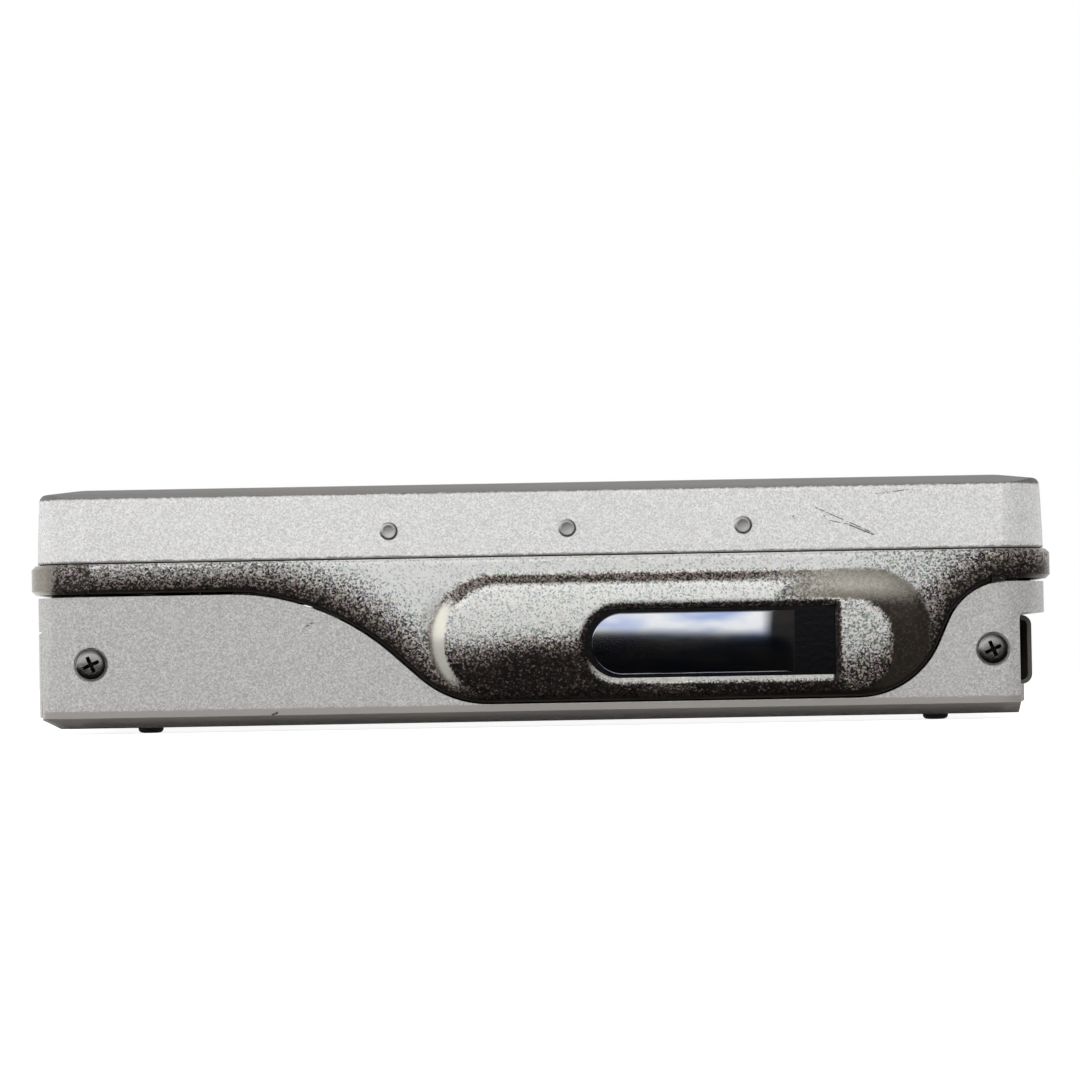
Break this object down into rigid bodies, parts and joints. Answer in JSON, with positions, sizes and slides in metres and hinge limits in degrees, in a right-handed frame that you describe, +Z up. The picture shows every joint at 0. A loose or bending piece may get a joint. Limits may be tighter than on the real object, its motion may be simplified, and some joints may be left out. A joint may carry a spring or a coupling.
{
  "type": "portable minidisc player",
  "caption": "Slim clamshell disc player: hinged lid, tilting disc holder, sliding latch in a raised oval on the front, side keys, jacks and battery door.",
  "frame": {"origin": "under the middle of the body, on the plane that the feet stand on", "axes": "+X to the right seen from the front, +Y back towards the hinge, +Z up"},
  "size_m": [0.079, 0.074, 0.0192],
  "materials": {
    "lid_silver": "silver metallic paint, fine flake",
    "case_silver": "warm silver metallic paint, fine flake",
    "frame_chrome": "satin bright plating",
    "knob_chrome": "black bright plating, polished",
    "key_silver": "painted silver",
    "window_clear": "smoked clear",
    "display_grey": "grey-green display",
    "steel": "plain stamped steel",
    "contact_gold": "gold plated",
    "terminal_cream": "moulded, cream",
    "board_green": "green mask over glass fibre",
    "chip_black": "moulded, black",
    "battery_wrap": "dark printed wrap",
    "rubber_black": "soft black",
    "lens_clear": "coated"
  },
  "bodies": {
    "base": {"lower_case": "case_silver", "mid_frame": "frame_chrome", "case_screws": "steel", "rubber_feet": "rubber_black", "terminal_shell": "steel", "terminal_tongue": "terminal_cream", "terminal_contacts": "contact_gold", "main_board": "board_green", "board_chips": "chip_black", "headphone_jack": "chip_black", "dc_jack": "chip_black", "dc_pin": "steel", "side_switch_board": "board_green", "battery_cell": "battery_wrap", "battery_contact": "steel", "deck_plate": "steel", "deck_dampers": "rubber_black", "spindle_motor": "steel", "guide_rods": "steel", "sled_motor": "steel", "screw_bracket": "steel", "hinge_pins": "steel", "latch_spring": "steel", "door_pin": "steel"},
    "latch": {"slider_knob": "knob_chrome", "latch_plate": "steel"},
    "lid": {"lid_shell": "lid_silver", "lid_inner_plate": "steel", "lid_rivets": "steel", "lcd_window": "window_clear", "lcd_panel": "display_grey", "key_board": "board_green"},
    "holder": {"disc_holder": "steel", "shutter_opener": "steel"},
    "back_button": {"back_key": "key_silver"},
    "play_button": {"play_key": "key_silver"},
    "forward_button": {"forward_key": "key_silver"},
    "stop_button": {"stop_key": "key_silver"},
    "volume_up": {"volume_up_key": "key_silver"},
    "volume_down": {"volume_down_key": "key_silver"},
    "hold_switch": {"hold_knob": "key_silver"},
    "battery_lid": {"battery_door": "case_silver", "door_contact": "steel"},
    "platter": {"turntable": "chip_black", "hub_magnet": "steel"},
    "sled": {"pickup_sled": "chip_black", "sled_nut": "chip_black", "actuator_magnets": "steel"},
    "lens": {"lens_holder": "chip_black", "objective_lens": "lens_clear"},
    "screw": {"lead_screw": "steel", "screw_gear": "chip_black"},
    "pinion": {"motor_pinion": "chip_black"}
  },
  "joints": [
    {"name": "latch_slide", "type": "slide", "parent": "base", "child": "latch", "axis": [1, 0, 0], "range_m": [0, 0.003], "stiffness_N_per_m": 150, "springref_m": -0.002, "deforming": ["latch_spring"]},
    {"name": "lid_hinge", "type": "hinge", "parent": "base", "child": "lid", "pos_m": [0, 0.036, 0.01312], "axis": [-1, 0, 0], "range_deg": [0, 42]},
    {"name": "holder_tilt", "type": "hinge", "parent": "base", "child": "holder", "pos_m": [0, 0.036, 0.01312], "axis": [-1, 0, 0], "range_deg": [0, 18.2]},
    {"name": "back_press", "type": "slide", "parent": "lid", "child": "back_button", "axis": [0, 0, -1], "range_m": [0, 0.0003], "stiffness_N_per_m": 1500, "springref_m": -0.0002},
    {"name": "play_press", "type": "slide", "parent": "lid", "child": "play_button", "axis": [0, 0, -1], "range_m": [0, 0.0003], "stiffness_N_per_m": 1500, "springref_m": -0.0002},
    {"name": "forward_press", "type": "slide", "parent": "lid", "child": "forward_button", "axis": [0, 0, -1], "range_m": [0, 0.0003], "stiffness_N_per_m": 1500, "springref_m": -0.0002},
    {"name": "stop_press", "type": "slide", "parent": "lid", "child": "stop_button", "axis": [0, 0, -1], "range_m": [0, 0.0003], "stiffness_N_per_m": 1500, "springref_m": -0.0002},
    {"name": "volume_up_press", "type": "slide", "parent": "base", "child": "volume_up", "axis": [1, 0, 0], "range_m": [0, 0.0003], "stiffness_N_per_m": 1500, "springref_m": -0.0002},
    {"name": "volume_down_press", "type": "slide", "parent": "base", "child": "volume_down", "axis": [1, 0, 0], "range_m": [0, 0.0003], "stiffness_N_per_m": 1500, "springref_m": -0.0002},
    {"name": "hold_slide", "type": "slide", "parent": "base", "child": "hold_switch", "axis": [0, 1, 0], "range_m": [0, 0.003]},
    {"name": "battery_door_hinge", "type": "hinge", "parent": "base", "child": "battery_lid", "pos_m": [-0.03815, -0.0145, 0.0046], "axis": [0, 0, -1], "range_deg": [0, 95]},
    {"name": "platter_spin", "type": "hinge", "parent": "base", "child": "platter", "pos_m": [0, 0.00025, 0.0093], "axis": [0, 0, 1], "continuous": true},
    {"name": "sled_slide", "type": "slide", "parent": "base", "child": "sled", "axis": [1, 0, 0], "range_m": [0, 0.0145]},
    {"name": "lens_focus", "type": "slide", "parent": "sled", "child": "lens", "axis": [0, 0, 1], "range_m": [-0.0003, 0.0003], "stiffness_N_per_m": 40},
    {"name": "screw_spin", "type": "hinge", "parent": "base", "child": "screw", "pos_m": [0.017, 0.01355, 0.0057], "axis": [1, 0, 0], "continuous": true},
    {"name": "pinion_spin", "type": "hinge", "parent": "base", "child": "pinion", "pos_m": [0.0022, 0.0168, 0.0057], "axis": [1, 0, 0], "continuous": true}
  ],
  "couplings": [
    {"joint": "holder_tilt", "follows": "lid_hinge", "ratio": 0.43},
    {"joint": "screw_spin", "follows": "sled_slide", "rad_per_m": 2094.4},
    {"joint": "pinion_spin", "follows": "sled_slide", "rad_per_m": -4712.4}
  ]
}
